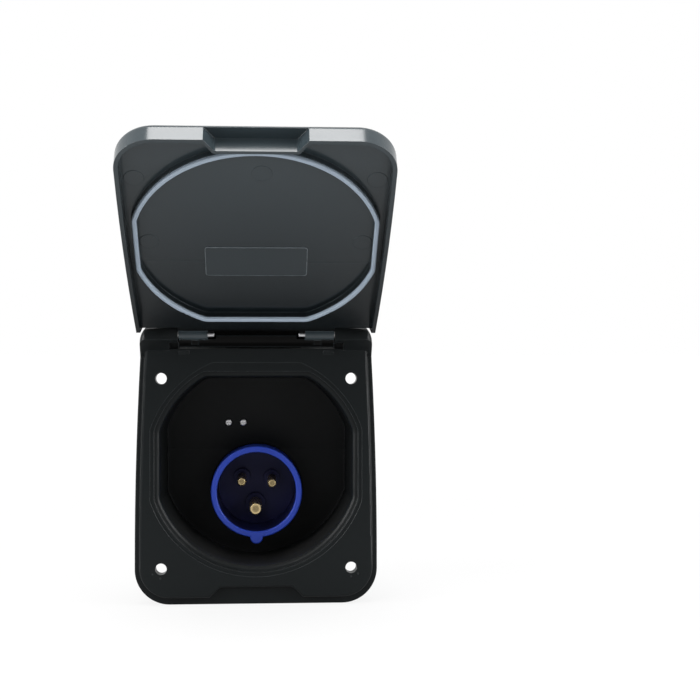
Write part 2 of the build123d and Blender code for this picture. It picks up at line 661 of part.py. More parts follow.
def make_rear_cover():
    seat = REAR_RIM_Y + COVER_SEAL
    plate = slab(recess_at(REAR_RIM_Y, RECESS_WALL), seat + COVER_PLATE, seat)
    body = plate + slab(cover_face(), COVER_BACK, seat)
    edge = [e for e in body.edges() if e.center().Y > COVER_BACK - 0.01]
    body = fillet(edge, 2.5)
    body -= slab(cover_face(COVER_WALL), COVER_BACK - COVER_WALL, seat - 1)
    for x in (-18, 0, 18):
        body += slab(Pos(x, COVER_TOP - 14) * Rectangle(1.4, 16), COVER_BACK, COVER_BACK - COVER_WALL - 1.5)
    for x in (-COVER_SCREW_X, COVER_SCREW_X):
        for z in COVER_SCREW_Z:
            body += rod(x, z, 4.2, seat + COVER_PLATE + 1, seat)
            body -= rod(x, z, 1.9, seat + COVER_PLATE + 2, seat - 1)
    hole = Plane(origin=(GLAND_X, GLAND_Y, COVER_TOP + 1), z_dir=(0, 0, -1))
    return body - hole * Cylinder(GLAND_THREAD + 0.2, 12)


def make_cover_seal():
    face = recess_at(REAR_RIM_Y, RECESS_WALL - 0.3) - recess_at(REAR_RIM_Y, 0.3)
    return slab(face, REAR_RIM_Y + COVER_SEAL, REAR_RIM_Y)


def hexagon(flats, thick, z):
    plane = Plane(origin=(GLAND_X, GLAND_Y, z))
    return extrude(plane * RegularPolygon(flats / 2, 6, major_radius=False), amount=thick)


def upright(radius, z0, z1):
    plane = Plane(origin=(GLAND_X, GLAND_Y, z0))
    return extrude(plane * Circle(radius), amount=z1 - z0)


def make_gland():
    low = COVER_TOP - COVER_WALL - LOCKNUT_THICK - 2
    top = COVER_TOP + GLAND_HEX + 8
    body = hexagon(GLAND_FLATS, GLAND_HEX, COVER_TOP) + upright(GLAND_THREAD, low, top)
    body -= upright(GLAND_BORE, low - 1, top + 1)
    seal = upright(GLAND_THREAD - 0.6, top, top + 2.2) - upright(GLAND_BORE - 1.2, top - 1, top + 4)
    nut_z = COVER_TOP + GLAND_HEX + 0.4
    nut = hexagon(GLAND_FLATS, GLAND_NUT - 4, nut_z)
    dome = upright(GLAND_FLATS / 2 - 0.6, nut_z + GLAND_NUT - 4, nut_z + GLAND_NUT)
    nut += fillet(dome.edges().sort_by(Axis.Z)[-1], 2.6)
    nut -= upright(GLAND_THREAD, nut_z - 1, top + 2.4)
    nut -= upright(GLAND_BORE, nut_z, nut_z + GLAND_NUT + 1)
    lock = hexagon(LOCKNUT_FLATS, LOCKNUT_THICK, COVER_TOP - COVER_WALL - LOCKNUT_THICK)
    lock -= upright(GLAND_THREAD, low - 1, COVER_TOP)
    return body, seal, nut, lock


def make_saddle():
    wide, tall, thick = SADDLE_SIZE
    low = (Align.CENTER, Align.CENTER, Align.MAX)
    plane = floor_plane(GLAND_X, -FLOOR_WALL)
    body = Box(wide, tall, thick, align=low)
    body = fillet(body.edges().filter_by(Axis.Z), 1.5)
    body -= Pos(0, 0, -thick / 2) * Box(3.6, tall + 2, 2.0)
    body = plane * body
    for x in saddle_screw_places():
        body -= floor_plane(x) * Cylinder(1.2, 30)
    return body


def add(name, shape):
    PARTS[name] = shape


def build():
    block = skin_block(-LEDGE - LID_REST_GAP)
    add("housing", make_housing())
    add("panel_gasket", gasket_ring())
    closed = {"lid_frame": make_lid(block), "lid_panel": make_panel(), "badge": make_badge(),
              "bolt_symbol": make_symbol(), "corner_trim": make_trim(block), "lid_seal": make_seal()}
    label = Pos(0, LABEL_Z) * RectangleRounded(*LABEL_SIZE, 1.5)
    inside = -SKIN + LID_TOP_WALL
    closed["label_plate"] = slab(label, inside + LABEL_THICK, inside)
    axis = Axis((0, HINGE_Y, HINGE_Z), (1, 0, 0))
    for name, shape in closed.items():
        add(name, shape.rotate(axis, -OPEN_ANGLE))
    for name, sign in (("left", -1), ("right", 1)):
        ends = sorted((sign * PIN_IN, sign * PIN_OUT))
        pin = bar(PIN_RADIUS, *ends)
        tips = pin.edges().filter_by(GeomType.CIRCLE)
        add("hinge_pin_" + name, chamfer(tips, 0.3))
    add("inlet_collar", make_collar())
    add("inlet_gasket", make_inlet_gasket())
    add("pin_carrier", make_carrier())
    for name, (x, z, radius) in pin_places().items():
        add(name + "_pin", make_pin(x, z, radius))
    add("terminal_screws", Compound(children=make_terminal_screws()))
    flange_back = INLET_SEAT_Y + INLET_FLANGE_THICK
    inlet_screws = [pan_screw(back_plane(x, flange_back, z), 1.4, INLET_SCREW_LENGTH, 3.2, 2.2)
                    for x, z in inlet_screw_places()]
    add("inlet_screws", Compound(children=inlet_screws))
    add("rear_cover", make_rear_cover())
    add("rear_cover_seal", make_cover_seal())
    seat = REAR_RIM_Y + COVER_SEAL + COVER_PLATE + 1
    cover_screws = [pan_screw(back_plane(x, seat, z), 1.5, COVER_SCREW_LENGTH, 3.3, 2.2)
                    for x in (-COVER_SCREW_X, COVER_SCREW_X) for z in COVER_SCREW_Z]
    add("rear_cover_screws", Compound(children=cover_screws))
    for name, shape in zip(("gland_body", "gland_seal", "gland_nut", "gland_locknut"), make_gland()):
        add(name, shape)
    add("cord_saddle", make_saddle())
    saddle = [pan_screw(floor_plane(x), 1.2, SADDLE_SCREW_LENGTH, 1.9, 1.2, 0.4) for x in saddle_screw_places()]
    add("saddle_screws", Compound(children=saddle))


build()
os.makedirs("parts", exist_ok=True)
for name, shape in PARTS.items():
    shape.label = name
    export_step(shape, os.path.join("parts", name + ".step"))
    print(name, len(shape.solids()), round(shape.volume, 1))
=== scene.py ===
"""Looks for the flush-mounted power inlet: finishes, small moulded details, studio and camera.

Metres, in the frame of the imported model: X to the right, +Y into the wall, +Z up.
"""
import math

import bpy
from mathutils import Matrix, Vector


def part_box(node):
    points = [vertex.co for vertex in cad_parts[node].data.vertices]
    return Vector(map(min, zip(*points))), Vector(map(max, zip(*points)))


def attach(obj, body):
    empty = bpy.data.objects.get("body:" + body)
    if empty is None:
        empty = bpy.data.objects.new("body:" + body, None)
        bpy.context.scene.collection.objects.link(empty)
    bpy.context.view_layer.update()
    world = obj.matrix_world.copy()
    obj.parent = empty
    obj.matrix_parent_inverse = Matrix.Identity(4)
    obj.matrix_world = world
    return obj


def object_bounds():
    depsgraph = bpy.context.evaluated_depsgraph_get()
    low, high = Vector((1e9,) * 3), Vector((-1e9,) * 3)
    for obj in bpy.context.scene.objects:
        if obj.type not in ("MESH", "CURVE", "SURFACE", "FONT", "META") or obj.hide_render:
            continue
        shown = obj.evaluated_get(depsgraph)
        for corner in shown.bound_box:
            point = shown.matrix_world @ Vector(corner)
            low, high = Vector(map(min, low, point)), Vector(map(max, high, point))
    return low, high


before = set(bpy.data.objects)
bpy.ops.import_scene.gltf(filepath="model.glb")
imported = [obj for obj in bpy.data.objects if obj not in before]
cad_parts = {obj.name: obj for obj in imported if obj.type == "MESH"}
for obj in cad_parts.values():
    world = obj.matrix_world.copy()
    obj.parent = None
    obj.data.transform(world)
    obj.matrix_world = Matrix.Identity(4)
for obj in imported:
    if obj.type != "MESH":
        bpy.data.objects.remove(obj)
cad_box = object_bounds()
MM = 0.001

# Places on the inlet, in millimetres; those inside the lid are for the closed lid
HINGE_Y, HINGE_Z = -13.25, 73.15
OPEN_ANGLE = 129.6
LID_INSIDE_Y = -13.0
PLATE_Y = -8.0
INLET_Z = -12.65
NUT_CENTRE = (-11.5, 66.5)
NUT_DOME_RADIUS = 11.4

# Small moulded details, in millimetres; each sinks a little into the face that it stands on
SINK = 0.02
EJECTOR_PLACES = [(-56.2, -38.0), (56.2, -38.0), (-51.6, 3.6), (51.6, 3.6), (2.6, -41.5)]
EJECTOR_RADIUS, EJECTOR_PROUD, EJECTOR_EDGE = 4.8, 0.16, 0.14
PIP_PLACES = [(-54.3, -52.8), (-50.3, -54.9), (49.9, -54.9), (53.6, -53.4)]
PIP_RADIUS, PIP_PROUD, PIP_EDGE = 0.55, 0.3, 0.25
RIDGE_COUNT, RIDGE_RADIUS, RIDGE_LENGTH = 24, 0.6, 3.2
RIDGE_INSET = 0.25
RIDGE_MIDDLE_Z = 51.6

# Where a finish or a painted shade changes on a piece, from start to end in millimetres, with the lid open as it
# stands at rest;
# a reach is measured from the axis of the hinge or the collar
# Painted shade round the hinge: near-black out to this reach from the axis, and below this height
HINGE_SHADE_REACH = (9.6, 11.0)
HINGE_SHADE_TOP_Z = (74.6, 77.2)
# Painted shade on the lid, darkest near the hinge and fading out towards the free end over this height
LID_SHADE_Z = (80.0, 150.0)
# The collar's bore turns a darker blue inside this reach and behind this depth
BORE_DARK_REACH = (21.9, 22.4)
BORE_DARK_Y = (22.4, 24.0)
# Painted shade in the recess, darkening from the front to the back over this depth
RECESS_SHADE_Y = (-5.5, 6.0)
LEDGE_Y = (-7.7, -7.2)

# The lid's two barrels, and the soft shading round the lip of the recess, in millimetres
BARREL_MIDDLE_X, BARREL_HALF, BARREL_REACH = 33.0, 7.8, 3.2
SOFT_LIP_RADIUS = 1.5

# The photograph's camera: pixels, millimetres and degrees
PHOTO_SIDE = 700
FOCAL_PIXELS = 1393.3
EYE = (0.8, -744.0, 63.2)
TURN_RIGHT = 3.777
TILT_UP = 0.144

# How bright the room behind the camera looks in shiny surfaces; the rest of the background is 1
FRONT_LEVEL = 0.3

WHITE = (1.0, 1.0, 1.0, 1.0)
DUST_COLOUR = (0.30, 0.29, 0.27, 1.0)
# Painted shade: near-black at the back of the recess
RECESS_SHADE_COLOUR = (0.0012, 0.0012, 0.0013, 1.0)
# Painted shade round the hinge axis
HINGE_SHADE_COLOUR = (0.0012, 0.0012, 0.0012, 1.0)
# Painted shade on the lid, darker towards the hinge
LID_SHADE_COLOUR = (0.001, 0.0022, 0.003, 1.0)

# Flow marks and changes of tone of all moulded plastic, and the sharp angle of small pieces in degrees
FLOW_MARKS = 0.4
TONE_CHANGE = 0.3
SHARP_ANGLE = 35.0


def tint(red, green, blue):
    """Linear colour of a screen colour given from 0 to 255."""
    def linear(value):
        part = value / 255
        return part / 12.92 if part <= 0.04045 else ((part + 0.055) / 1.055) ** 2.4
    return (linear(red), linear(green), linear(blue), 1.0)


def scaled(colour, factor, more=0.0):
    """The colour made darker or paler, no part of it above 1."""
    return tuple(min(value * factor + more, 1.0) for value in colour[:3]) + (1.0,)


# ---- node trees ----

def put(tree, kind, **settings):
    """Adds a node, sets its properties, and its inputs by name or number."""
    made = tree.nodes.new(kind)
    for key, value in settings.get("props", {}).items():
        setattr(made, key, value)
    for key, value in settings.get("ins", {}).items():
        if isinstance(value, bpy.types.NodeSocket):
            tree.links.new(value, made.inputs[key])
        else:
            made.inputs[key].default_value = value
    return made


def maths(tree, operation, first, second=0.0, clamp=False):
    made = put(tree, "ShaderNodeMath", props={"operation": operation, "use_clamp": clamp}, ins={0: first, 1: second})
    return made.outputs[0]


def ramp(tree, value, start, end, first=0.0, last=1.0):
    """Goes from first to last while the value goes from start to end."""
    made = put(tree, "ShaderNodeMapRange", ins={0: value, 1: start, 2: end, 3: first, 4: last})
    return made.outputs[0]


def ramp_mm(tree, value, limits, first=0.0, last=1.0):
    return ramp(tree, value, limits[0] * MM, limits[1] * MM, first, last)


def hypotenuse(tree, first, second):
    squares = maths(tree, "ADD", maths(tree, "POWER", first, 2.0), maths(tree, "POWER", second, 2.0))
    return maths(tree, "SQRT", squares)


def noise(tree, place, scale, detail=2.0, roughness=0.5):
    made = put(tree, "ShaderNodeTexNoise",
               ins={"Vector": place, "Scale": scale, "Detail": detail, "Roughness": roughness})
    return made.outputs["Fac"]


def new_group(name, inputs, outputs):
    """Shader group with named sockets; inputs are (name, kind, value)."""
    tree = bpy.data.node_groups.new(name, "ShaderNodeTree")
    for label, kind, value in inputs:
        socket = tree.interface.new_socket(label, in_out="INPUT", socket_type=kind)
        if value is not None:
            socket.default_value = value
    for label, kind in outputs:
        tree.interface.new_socket(label, in_out="OUTPUT", socket_type=kind)
    return tree, tree.nodes.new("NodeGroupInput").outputs, tree.nodes.new("NodeGroupOutput").inputs


def send(tree, source, target):
    tree.links.new(source, target)


def spark_grain_group():
    """Fine spark-eroded grain of moulded plastic, with slow changes of gloss and tone."""
    tree, given, out = new_group(
        "spark_grain",
        [("Place", "NodeSocketVector", None), ("Size", "NodeSocketFloat", 0.5), ("Flow", "NodeSocketFloat", 0.4)],
        [("Height", "NodeSocketFloat"), ("Gloss", "NodeSocketFloat"), ("Tone", "NodeSocketFloat")])
    per_metre = maths(tree, "DIVIDE", 1000.0, given["Size"])
    pits = put(tree, "ShaderNodeTexVoronoi", props={"feature": "SMOOTH_F1"},
               ins={"Vector": given["Place"], "Scale": per_metre, "Smoothness": 0.6})
    fine = noise(tree, given["Place"], maths(tree, "MULTIPLY", per_metre, 2.3), 3.0, 0.6)
    height = maths(tree, "ADD", maths(tree, "MULTIPLY", pits.outputs["Distance"], 0.65),
                   maths(tree, "MULTIPLY", fine, 0.5))
    send(tree, height, out["Height"])
    flow = noise(tree, given["Place"], 34.0, 3.0, 0.55)
    cloud = noise(tree, given["Place"], 11.0, 2.0, 0.5)
    slow = maths(tree, "MULTIPLY", maths(tree, "SUBTRACT", flow, 0.5), given["Flow"])
    send(tree, maths(tree, "ADD", slow, maths(tree, "MULTIPLY", maths(tree, "SUBTRACT", fine, 0.5), 0.25)),
         out["Gloss"])
    send(tree, maths(tree, "ADD", maths(tree, "MULTIPLY", maths(tree, "SUBTRACT", cloud, 0.5), given["Flow"]),
                     maths(tree, "MULTIPLY", maths(tree, "SUBTRACT", fine, 0.5), 0.3)), out["Tone"])
    return tree


def soft_edge_group():
    """Rounds the shading of sharp edges and marks where hands have polished them."""
    tree, given, out = new_group(
        "soft_edge",
        [("Place", "NodeSocketVector", None), ("Radius", "NodeSocketFloat", 0.0004),
         ("Wear", "NodeSocketFloat", 0.4)],
        [("Normal", "NodeSocketVector"), ("Edge", "NodeSocketFloat")])
    bevel = put(tree, "ShaderNodeBevel", props={"samples": 6}, ins={"Radius": given["Radius"]})
    flat = put(tree, "ShaderNodeNewGeometry")
    turn = put(tree, "ShaderNodeVectorMath", props={"operation": "DOT_PRODUCT"},
               ins={0: bevel.outputs["Normal"], 1: flat.outputs["Normal"]})
    bent = maths(tree, "SUBTRACT", 1.0, turn.outputs["Value"], True)
    patchy = maths(tree, "MULTIPLY", noise(tree, given["Place"], 420.0, 4.0, 0.7), 1.7, True)
    edge = maths(tree, "MULTIPLY", maths(tree, "MULTIPLY", bent, 9.0, True), patchy)
    send(tree, bevel.outputs["Normal"], out["Normal"])
    send(tree, maths(tree, "MULTIPLY", edge, given["Wear"], True), out["Edge"])
    return tree


def dust_group():
    """Pale dust that settles on what faces up, and fine wiping marks."""
    tree, given, out = new_group(
        "settled_dust",
        [("Place", "NodeSocketVector", None), ("Up", "NodeSocketVector", None),
         ("Amount", "NodeSocketFloat", 0.15)],
        [("Dust", "NodeSocketFloat"), ("Wipe", "NodeSocketFloat")])
    parts = put(tree, "ShaderNodeSeparateXYZ", ins={0: given["Up"]})
    facing = maths(tree, "MULTIPLY", maths(tree, "SUBTRACT", parts.outputs["Z"], 0.25), 1.6, True)
    specks = maths(tree, "MULTIPLY", maths(tree, "SUBTRACT", noise(tree, given["Place"], 900.0, 3.0, 0.8), 0.42),
                   3.5, True)
    film = noise(tree, given["Place"], 60.0, 4.0, 0.6)
    dust = maths(tree, "MULTIPLY", facing, maths(tree, "ADD", maths(tree, "MULTIPLY", specks, 0.6), film))
    send(tree, maths(tree, "MULTIPLY", dust, given["Amount"], True), out["Dust"])
    stretch = put(tree, "ShaderNodeMapping", ins={"Vector": given["Place"], "Rotation": (0.3, 0.5, 0.9),
                                                  "Scale": (1.0, 22.0, 22.0)})
    lines = noise(tree, stretch.outputs[0], 60.0, 3.0, 0.75)
    send(tree, maths(tree, "MULTIPLY", maths(tree, "SUBTRACT", lines, 0.6), 4.0, True), out["Wipe"])
    return tree


def lathe_group():
    """Rings left by a lathe round the Y axis, and the smear between them."""
    tree, given, out = new_group(
        "lathe_rings",
        [("Place", "NodeSocketVector", None), ("Pitch", "NodeSocketFloat", 0.12)],
        [("Height", "NodeSocketFloat"), ("Tone", "NodeSocketFloat"), ("Radius", "NodeSocketFloat")])
    parts = put(tree, "ShaderNodeSeparateXYZ", ins={0: given["Place"]})
    radius = hypotenuse(tree, parts.outputs["X"], parts.outputs["Z"])
    travel = maths(tree, "ADD", radius, maths(tree, "MULTIPLY", parts.outputs["Y"], 0.7))
    turns = maths(tree, "DIVIDE", maths(tree, "MULTIPLY", travel, 6283.2), given["Pitch"])
    ring = maths(tree, "SINE", turns)
    send(tree, ring, out["Height"])
    send(tree, radius, out["Radius"])
    smear = noise(tree, given["Place"], 700.0, 3.0, 0.6)
    send(tree, maths(tree, "ADD", maths(tree, "MULTIPLY", ring, 0.12), smear), out["Tone"])
    return tree


GRAIN = spark_grain_group()
EDGE = soft_edge_group()
DUST = dust_group()
LATHE = lathe_group()


def use_group(tree, group, **ins):
    """Adds a shader group and sets or links its inputs by name."""
    made = tree.nodes.new("ShaderNodeGroup")
    made.node_tree = group
    for key, value in ins.items():
        label = key.replace("_", " ")
        if isinstance(value, bpy.types.NodeSocket):
            tree.links.new(value, made.inputs[label])
        else:
            made.inputs[label].default_value = value
    return made.outputs


def mix_colour(tree, amount, first, second):
    made = put(tree, "ShaderNodeMix", props={"data_type": "RGBA", "clamp_factor": True},
               ins={0: amount, 6: first, 7: second})
    return made.outputs[2]


def begin(name, centre=(0, 0, 0)):
    """Material with its surface shader and the place read from object coordinates."""
    material = bpy.data.materials.new(name)
    material.use_nodes = True
    tree = material.node_tree
    shader = tree.nodes["Principled BSDF"]
    coords = put(tree, "ShaderNodeTexCoord")
    place = coords.outputs["Object"]
    if any(centre):
        shift = put(tree, "ShaderNodeMapping", ins={"Vector": place, "Location": [-v for v in centre]})
        place = shift.outputs[0]
    return material, tree, shader, place, coords.outputs["Normal"]


def hinge_painted_shade(tree, place):
    """Painted shade, near-black, round the hinge axis, and a mask that is 0 on the two barrels, which it leaves out.
    """
    parts = put(tree, "ShaderNodeSeparateXYZ", ins={0: place}).outputs
    reach = hypotenuse(tree, maths(tree, "SUBTRACT", parts["Y"], HINGE_Y * MM),
                       maths(tree, "SUBTRACT", parts["Z"], HINGE_Z * MM))
    near = ramp_mm(tree, reach, HINGE_SHADE_REACH, 1.0, 0.0)
    low = ramp_mm(tree, parts["Z"], HINGE_SHADE_TOP_Z, 1.0, 0.0)
    aside = maths(tree, "SUBTRACT", maths(tree, "ABSOLUTE", parts["X"]), BARREL_MIDDLE_X * MM)
    barrel = maths(tree, "MULTIPLY", maths(tree, "LESS_THAN", maths(tree, "ABSOLUTE", aside), BARREL_HALF * MM),
                   maths(tree, "LESS_THAN", reach, BARREL_REACH * MM))
    off_barrels = maths(tree, "SUBTRACT", 1.0, barrel)
    return maths(tree, "MULTIPLY", maths(tree, "MULTIPLY", near, low), off_barrels), off_barrels


def lid_painted_shade(tree, place):
    """Painted shade at the hinge, and painted shade on the lid that fades from the hinge to the free end."""
    hinge_shade, off_barrels = hinge_painted_shade(tree, place)
    height = put(tree, "ShaderNodeSeparateXYZ", ins={0: place}).outputs["Z"]
    return hinge_shade, maths(tree, "MULTIPLY", ramp_mm(tree, height, LID_SHADE_Z, 0.8, 0.0), off_barrels)


def collar_inside(tree, place):
    """Where the collar's bore turns a darker blue, from just behind its front edge inwards."""
    parts = put(tree, "ShaderNodeSeparateXYZ", ins={0: place}).outputs
    reach = hypotenuse(tree, parts["X"], maths(tree, "SUBTRACT", parts["Z"], INLET_Z * MM))
    return maths(tree, "MULTIPLY", ramp_mm(tree, reach, BORE_DARK_REACH, 1.0, 0.0),
                 ramp_mm(tree, parts["Y"], BORE_DARK_Y))


def moulded(name, colour, roughness, grain=0.5, depth=0.012, radius=0.35, wear=0.35, dust=0.1, worn=None,
            specular=0.5, recess_shade=0.0, hinge=False, bore_colour=None):
    """Moulded plastic or rubber: grain, flow marks, softened and polished edges, a little dust.

    Painted shade can darken what lies deep in the recess, and on the lid the hinge and the part next to it; the
    collar's bore can take a darker colour.
    """
    material, tree, shader, place, up = begin(name)
    skin = use_group(tree, GRAIN, Place=place, Size=grain, Flow=FLOW_MARKS)
    edge = use_group(tree, EDGE, Place=place, Radius=radius * MM, Wear=wear)
    film = use_group(tree, DUST, Place=place, Up=up, Amount=dust)
    normal = edge["Normal"]
    shade = maths(tree, "ADD", 0.5, maths(tree, "MULTIPLY", skin["Tone"], TONE_CHANGE))
    base = mix_colour(tree, shade, scaled(colour, 0.72), scaled(colour, 1.32))
    gloss = maths(tree, "ADD", roughness, maths(tree, "MULTIPLY", skin["Gloss"], 0.35))
    gloss = maths(tree, "SUBTRACT", gloss, maths(tree, "MULTIPLY", edge["Edge"], 0.12))
    gloss = maths(tree, "SUBTRACT", gloss, maths(tree, "MULTIPLY", film["Wipe"], 0.03))
    # Painted shade: the colour darkens towards the back of the recess
    if recess_shade:
        depth_in = put(tree, "ShaderNodeSeparateXYZ", ins={0: place}).outputs["Y"]
        lit = ramp_mm(tree, depth_in, RECESS_SHADE_Y, 1.0, 1.0 - recess_shade)
        base = mix_colour(tree, lit, RECESS_SHADE_COLOUR, base)
        gloss = maths(tree, "ADD", gloss, maths(tree, "MULTIPLY", maths(tree, "SUBTRACT", 1.0, lit), 0.3))
        rounded = use_group(tree, EDGE, Place=place, Radius=SOFT_LIP_RADIUS * MM, Wear=0.0)
        turned = put(tree, "ShaderNodeMix", props={"data_type": "VECTOR"},
                     ins={0: ramp_mm(tree, depth_in, LEDGE_Y), 4: normal, 5: rounded["Normal"]})
        normal = turned.outputs[1]
    # The collar's bore takes a darker blue from just behind its front edge
    if bore_colour:
        base = mix_colour(tree, collar_inside(tree, place), base, bore_colour)
    # Painted shade: near-black round the hinge axis, darker on the lid towards the hinge, with Metallic raised where
    # it is painted
    if hinge:
        hinge_shade, lid_shade = lid_painted_shade(tree, place)
        base = mix_colour(tree, lid_shade, base, LID_SHADE_COLOUR)
        base = mix_colour(tree, hinge_shade, base, HINGE_SHADE_COLOUR)
        gloss = maths(tree, "ADD", gloss, maths(tree, "MULTIPLY", hinge_shade, 0.04))
        shade_metallic = maths(tree, "MAXIMUM", maths(tree, "MULTIPLY", hinge_shade, 0.82), maths(tree, "MULTIPLY", lid_shade, 0.42))
        send(tree, shade_metallic, shader.inputs["Metallic"])
    base = mix_colour(tree, edge["Edge"], base, worn or scaled(colour, 2.2, 0.004))
    base = mix_colour(tree, film["Dust"], base, DUST_COLOUR)
    send(tree, base, shader.inputs["Base Color"])
    send(tree, maths(tree, "ADD", gloss, maths(tree, "MULTIPLY", film["Dust"], 0.4), True),
         shader.inputs["Roughness"])
    bump = put(tree, "ShaderNodeBump", ins={"Height": skin["Height"], "Distance": depth * MM, "Strength": 0.8,
                                            "Normal": normal})
    send(tree, bump.outputs[0], shader.inputs["Normal"])
    shader.inputs["Specular IOR Level"].default_value = specular
    return material


def metal(name, colour, roughness, centre=(0, 0, 0), pitch=0.12, depth=0.002, radius=0.15, core=0.0):
    """Turned metal with lathe rings round the Y axis, darker tarnish, and a painted dark reflection in the middle
    out to core.
    """
    material, tree, shader, place, _ = begin(name, centre)
    rings = use_group(tree, LATHE, Place=place, Pitch=pitch)
    edge = use_group(tree, EDGE, Place=place, Radius=radius * MM, Wear=0.6)
    base = mix_colour(tree, rings["Tone"], scaled(colour, 0.62), colour)
    # Painted reflection: the middle is darkened out to core, as a dark room mirrored in the pin's face
    if core:
        dark_reflection = ramp(tree, rings["Radius"], core * 0.55, core, 0.8, 0.0)
        base = mix_colour(tree, dark_reflection, base, scaled(colour, 0.22))
    send(tree, mix_colour(tree, edge["Edge"], base, scaled(colour, 1.25)), shader.inputs["Base Color"])
    rough = maths(tree, "ADD", roughness - 0.06, maths(tree, "MULTIPLY", rings["Tone"], 0.16), True)
    send(tree, rough, shader.inputs["Roughness"])
    bump = put(tree, "ShaderNodeBump", ins={"Height": rings["Height"], "Distance": depth * MM, "Strength": 0.6,
                                            "Normal": edge["Normal"]})
    send(tree, bump.outputs[0], shader.inputs["Normal"])
    shader.inputs["Metallic"].default_value = 1.0
    return material


def panel_paint(name, colour):
    """Satin grey paint with a fine metallic flake under a thin clear layer."""
    material, tree, shader, place, up = begin(name)
    flake = put(tree, "ShaderNodeTexVoronoi", ins={"Vector": place, "Scale": 5200.0})
    sparkle = put(tree, "ShaderNodeSeparateColor", ins={0: flake.outputs["Color"]})
    edge = use_group(tree, EDGE, Place=place, Radius=0.3 * MM, Wear=0.3)
    film = use_group(tree, DUST, Place=place, Up=up, Amount=0.05)
    cloud = noise(tree, place, 26.0, 3.0, 0.5)
    tone = maths(tree, "ADD", maths(tree, "MULTIPLY", sparkle.outputs[0], 0.45), maths(tree, "MULTIPLY", cloud, 0.5))
    base = mix_colour(tree, tone, scaled(colour, 0.8), scaled(colour, 1.25))
    base = mix_colour(tree, edge["Edge"], base, scaled(colour, 1.5))
    send(tree, mix_colour(tree, film["Dust"], base, DUST_COLOUR), shader.inputs["Base Color"])
    rough = maths(tree, "ADD", 0.36, maths(tree, "MULTIPLY", sparkle.outputs[1], 0.12))
    send(tree, maths(tree, "SUBTRACT", rough, maths(tree, "MULTIPLY", film["Wipe"], 0.04)),
         shader.inputs["Roughness"])
    bump = put(tree, "ShaderNodeBump", ins={"Height": sparkle.outputs[2], "Distance": 0.002 * MM,
                                            "Strength": 0.5, "Normal": edge["Normal"]})
    send(tree, bump.outputs[0], shader.inputs["Normal"])
    shader.inputs["Metallic"].default_value = 0.15
    shader.inputs["Coat Weight"].default_value = 0.1
    shader.inputs["Coat Roughness"].default_value = 0.25
    shader.inputs["Specular IOR Level"].default_value = 0.35
    return material


def foam(name, colour):
    """Closed-cell foam: open pores at the cut faces."""
    material, tree, shader, place, _ = begin(name)
    cells = put(tree, "ShaderNodeTexVoronoi", ins={"Vector": place, "Scale": 1500.0})
    pores = maths(tree, "MULTIPLY", cells.outputs["Distance"], 1.4, True)
    send(tree, mix_colour(tree, pores, scaled(colour, 0.45), colour), shader.inputs["Base Color"])
    bump = put(tree, "ShaderNodeBump", ins={"Height": pores, "Distance": 0.15 * MM, "Strength": 0.8})
    send(tree, bump.outputs[0], shader.inputs["Normal"])
    send(tree, maths(tree, "ADD", 0.82, maths(tree, "MULTIPLY", pores, 0.1)), shader.inputs["Roughness"])
    return material


# The black housing, with painted shade darkening the back of its recess
BLACK = moulded("black_plastic", tint(16, 19, 20), 0.33, depth=0.006, dust=0.04, specular=0.13, recess_shade=0.6,
                radius=0.25, wear=0.6, worn=tint(70, 74, 76))
# The lid, with painted shade round its hinge and darker towards it
LID_BLACK = moulded("lid_plastic", tint(42, 50, 54), 0.2, depth=0.005, dust=0.02, specular=0.4, hinge=True)
BADGE_BLACK = moulded("badge_plastic", tint(14, 16, 24), 0.30, grain=0.35, depth=0.004, radius=0.25, wear=0.7,
                      dust=0.02, specular=0.3, worn=tint(74, 80, 84))
SYMBOL = moulded("symbol_paint", tint(124, 120, 106), 0.45, grain=0.3, depth=0.004, radius=0.1, wear=0.1, dust=0.0,
                 specular=0.3)
TRIM = moulded("trim_plastic", tint(14, 16, 23), 0.42, depth=0.014, radius=0.3, wear=0.7, dust=0.03,
               specular=0.3, worn=tint(74, 80, 88))
SEAL = moulded("seal_rubber", tint(140, 153, 167), 0.5, grain=0.8, depth=0.006, radius=0.2, wear=0.1, dust=0.02)
LABEL = moulded("label_plastic", tint(30, 38, 42), 0.2, grain=0.3, depth=0.002, radius=0.5, wear=1.0, dust=0.0,
                specular=0.38, worn=tint(150, 160, 166))
BLUE = moulded("blue_plastic", tint(34, 60, 160), 0.34, grain=0.6, depth=0.003, radius=0.3, wear=0.15, dust=0.0,
               specular=0.3, worn=tint(90, 116, 220), bore_colour=tint(20, 24, 66))
RUBBER = moulded("gasket_rubber", tint(36, 36, 37), 0.66, grain=0.6, depth=0.02, radius=0.2, wear=0.1)
NAVY = moulded("navy_plastic", tint(27, 31, 80), 0.42, grain=0.6, depth=0.004, radius=0.3, wear=0.1, dust=0.0,
               specular=0.2)
NYLON = moulded("gland_plastic", tint(30, 31, 33), 0.44, grain=0.5, depth=0.01, radius=0.45)
STEEL = metal("steel", (0.62, 0.62, 0.63, 1.0), 0.30, pitch=0.2)
PANEL = panel_paint("grey_panel", tint(73, 76, 77))
FOAM = foam("foam", tint(48, 48, 50))


def brass_for(node):
    """Brass with its lathe rings, and the painted dark reflection in its middle, centred on the pin."""
    low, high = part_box(node)
    middle = (low + high) / 2
    return metal("brass_" + node, (0.98, 0.76, 0.40, 1.0), 0.24, centre=(middle.x, 0, middle.z), pitch=0.16,
                 depth=0.0008, radius=0.25, core=(high.x - low.x) / 2 * 0.5)


